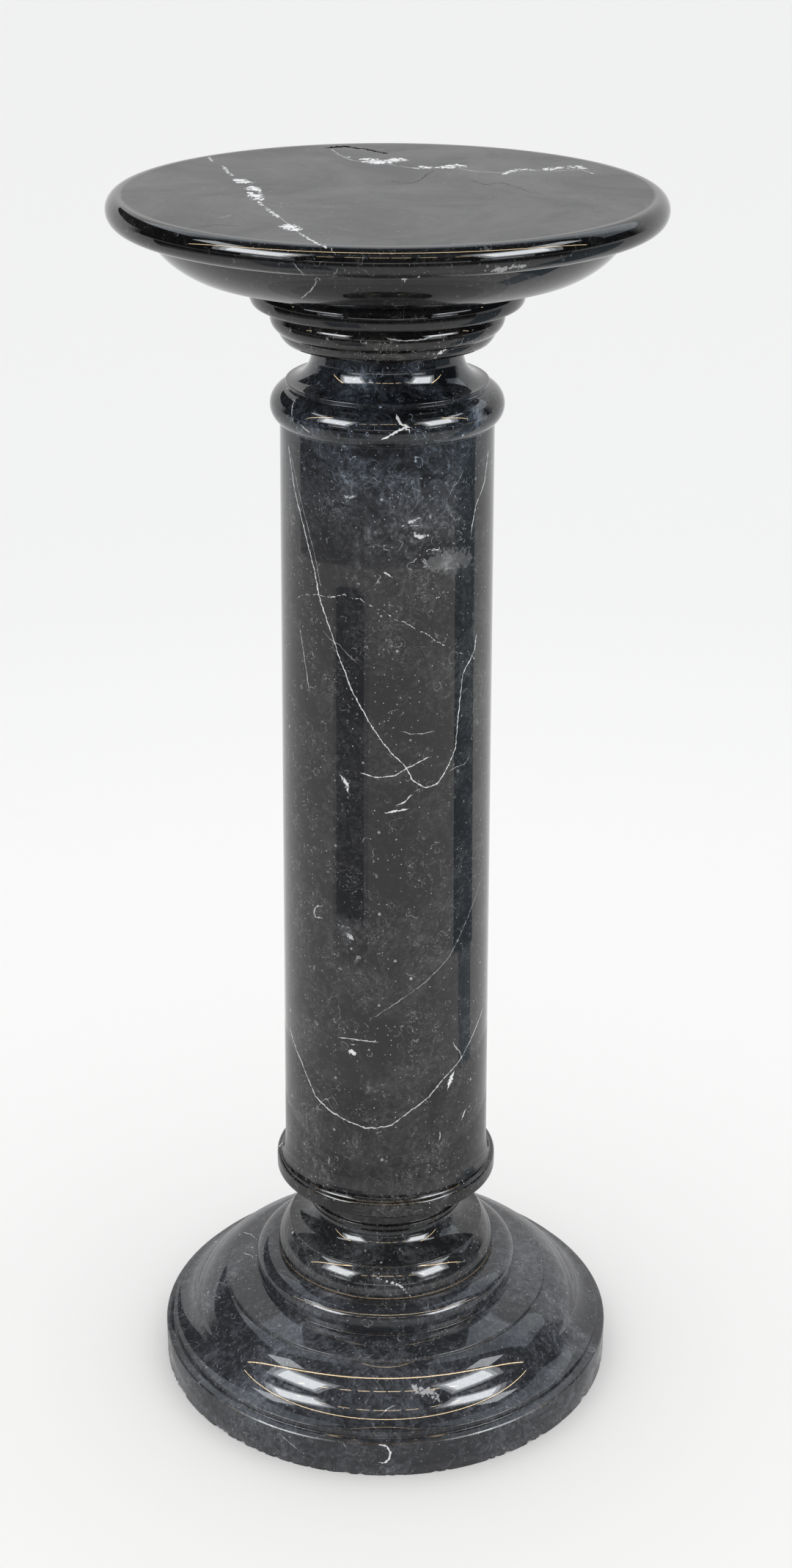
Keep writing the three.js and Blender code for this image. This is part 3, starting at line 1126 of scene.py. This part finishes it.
def make_lamp(name, place, aim, size, radiance, colour):
    """A rectangular lamp of an even radiance that only reflections show."""
    width, height = size
    light = bpy.data.lights.new(name, "AREA")
    light.shape = "RECTANGLE"
    light.size = width
    light.size_y = height
    light.energy = radiance * math.pi * width * height
    light.color = colour
    lamp = bpy.data.objects.new(name, light)
    lamp.location = place
    lamp.rotation_euler = (Vector(aim) - Vector(place)).to_track_quat("-Z", "Y").to_euler()
    lamp.visible_camera = False
    lamp.visible_diffuse = False
    bpy.context.scene.collection.objects.link(lamp)


def make_ceiling_lamp(name, place, size, radiance, colour, above=0):
    """A lamp at the ceiling, or a little above it, that points straight down."""
    x, y = place
    make_lamp(name, (x, y, CEILING + above), (x, y, 0), size, radiance, colour)


def make_soft_lamp(name, place, spacing, aim, layers):
    """Lamps of several sizes at almost one place, so that their reflection fades outwards."""
    x, y, z = place
    for number, (size, radiance) in enumerate(layers):
        at = (x, y + spacing * number, z)
        make_lamp(f"{name}_{number}", at, aim, size, radiance, COOL)


def make_lamps():
    """Soft lamps and a panel on either side, a low band in front, and the lamps overhead."""
    softbox = (((1.4, 1.1), 9), ((1.7, 1.4), 4), ((2.1, 1.8), 3))
    stand = (((0.9, 0.4), 2.0), ((1.6, 0.6), 1.4))
    for side in (-1, 1):
        make_soft_lamp(f"softbox_{side}", (side * 2.4, -1.75, 2.3), 0.02, (0, 0, 0.1), softbox)
        make_ceiling_lamp(f"panel_{side}", (side * 1.95, -0.2), (0.9, 0.7), 6, COOL)
        make_soft_lamp(f"stand_{side}", (side * 2.9, -2.75, 1.22), 0.01, (0, 0, 1.0), stand)
    make_lamp("low_band", (0, -4, 1.0), (0, 0, 0.8), (5.0, 0.14), 3.5, WARM_WHITE)
    make_ceiling_lamp("ceiling_glow", (0, -2.1), (5.0, 1.4), 0.22, BLUISH, above=0.02)
    make_ceiling_lamp("ceiling_back", (0, 1.5), (8.0, 1.8), 0.9, BLUE, above=0.02)
    make_ceiling_lamp("strip_over", (0, -0.72), (16, 0.09), 26, WARM)
    for x in (-3.1, -2.0, -1.2, -0.62, -0.15, 0.25, 0.75, 1.5, 2.3):
        make_ceiling_lamp(f"strip_front_{x}", (x, -2.5), (0.36, 0.08), 26, WARM)


def make_world():
    """Even white light for the floor, and a room for the polish to reflect: a bright backdrop
    behind the column, a dark room on the camera's side.
    """
    world = bpy.data.worlds.new("studio")
    world.use_nodes = True
    tree = world.node_tree
    tree.nodes.clear()
    graph = Graph(tree)
    direction = graph.node("ShaderNodeTexCoord").outputs["Generated"]
    height = graph.parts(direction)[2]
    level = graph.vector_math("MULTIPLY", direction, (1, 1, 0))
    ahead = graph.node("ShaderNodeVectorMath", {0: level}, operation="NORMALIZE")
    behind = graph.ramp(graph.parts(ahead.outputs["Vector"])[1], 0.40, 0.62)
    low = graph.ramp(height, 0.80, 0.66)
    up = graph.ramp(height, 0.60, 0.85)
    room = graph.mix(up, (0.022, 0.026, 0.033, 1), (0.09, 0.10, 0.12, 1))
    room = graph.mix(graph.math("MULTIPLY", behind, low), room, grey(0.90))
    rays = graph.node("ShaderNodeLightPath").outputs
    even = graph.mix(rays["Is Camera Ray"], grey(1.2), (0.88, 0.885, 0.895, 1))
    seen = graph.mix(rays["Is Glossy Ray"], even, room)
    light = graph.node("ShaderNodeBackground", {"Color": seen, "Strength": 1.0})
    graph.node("ShaderNodeOutputWorld", {0: light.outputs[0]})
    bpy.context.scene.world = world


bpy.context.scene.view_settings.view_transform = "Standard"
make_camera()
make_column()
make_floor()
make_world()
make_lamps()
make_flags()
